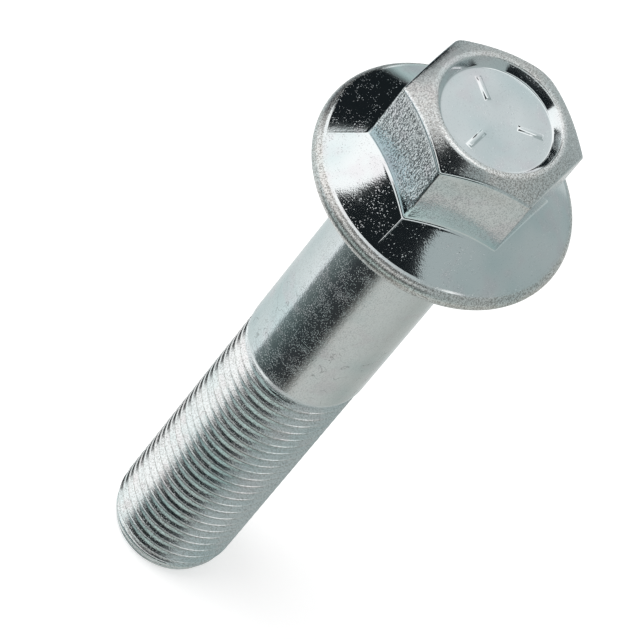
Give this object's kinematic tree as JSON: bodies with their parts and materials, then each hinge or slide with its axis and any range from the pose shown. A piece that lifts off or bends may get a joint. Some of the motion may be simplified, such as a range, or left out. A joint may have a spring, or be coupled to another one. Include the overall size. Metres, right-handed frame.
{
  "type": "hex flange bolt",
  "caption": "Zinc-plated hexagon flange bolt with a conical flange, a dished head top, a plain shank and a fine right-hand thread with a chamfered end.",
  "frame": {"origin": "centre of the flat thread end, which is also the middle of the bounding box's underside", "axes": "+Z along the bolt's axis from the thread end to the head; +X through a corner of the hexagon"},
  "size_m": [0.0246, 0.0246, 0.0725],
  "materials": {
    "zinc": "bright zinc plate with a pale blue-green passivated sheen, finely grained where it was forged"
  },
  "bodies": {
    "root": {"flange_bolt": "zinc"}
  },
  "joints": []
}
